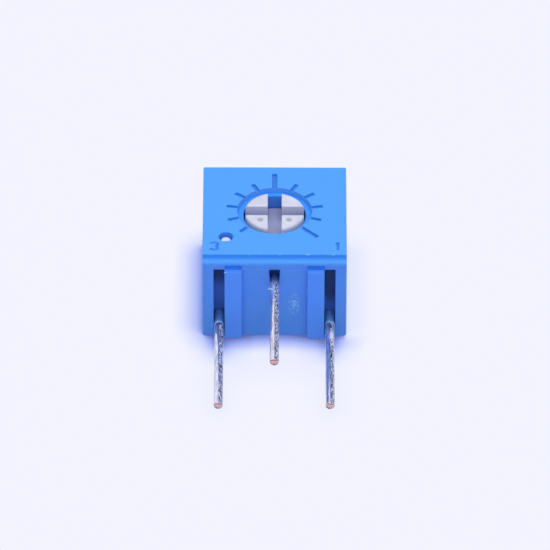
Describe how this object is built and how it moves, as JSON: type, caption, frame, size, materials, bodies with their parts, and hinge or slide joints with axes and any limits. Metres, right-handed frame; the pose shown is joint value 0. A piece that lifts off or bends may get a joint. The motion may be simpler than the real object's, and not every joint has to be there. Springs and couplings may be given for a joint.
{
  "type": "trimmer potentiometer",
  "caption": "Small square single-turn trimmer potentiometer with a cross-slotted rotor in a graduated dial and round wire terminals leaving its front wall.",
  "frame": {"origin": "centre of the back face, on the rotor's axis; the part rests on this face with its dial up", "axes": "+Z along the rotor's axis, out of the dial; +Y away from the wires, which leave the front wall toward -Y; +X to the right of the dial, toward terminal 1"},
  "size_m": [0.0066, 0.0127, 0.0045],
  "materials": {
    "housing_plastic": "moulded satin blue thermoplastic",
    "rotor_plastic": "moulded pale grey thermoplastic",
    "contact_metal": "stamped spring alloy",
    "ceramic": "fired alumina",
    "cermet": "fired resistive ink",
    "printed_conductor": "fired silver ink",
    "tinned_copper": "hot tinned copper wire with bare copper at its cut end",
    "solder": "bright solder",
    "resin": "cast epoxy resin"
  },
  "bodies": {
    "body": {"housing": "housing_plastic", "substrate": "ceramic", "resistive_track": "cermet", "collector_track": "printed_conductor", "end_pad_1": "printed_conductor", "end_pad_3": "printed_conductor", "pin_1": "tinned_copper", "pin_2": "tinned_copper", "pin_3": "tinned_copper", "solder_1": "solder", "solder_2": "solder", "solder_3": "solder", "back_seal": "resin", "corner_stake": "solder"},
    "rotor": {"rotor": "rotor_plastic", "wiper_spring": "contact_metal"}
  },
  "joints": [
    {"name": "rotor_turn", "type": "hinge", "parent": "body", "child": "rotor", "pos_m": [0, 0, 0.003], "axis": [0, 0, 1], "range_deg": [-135, 135]}
  ]
}
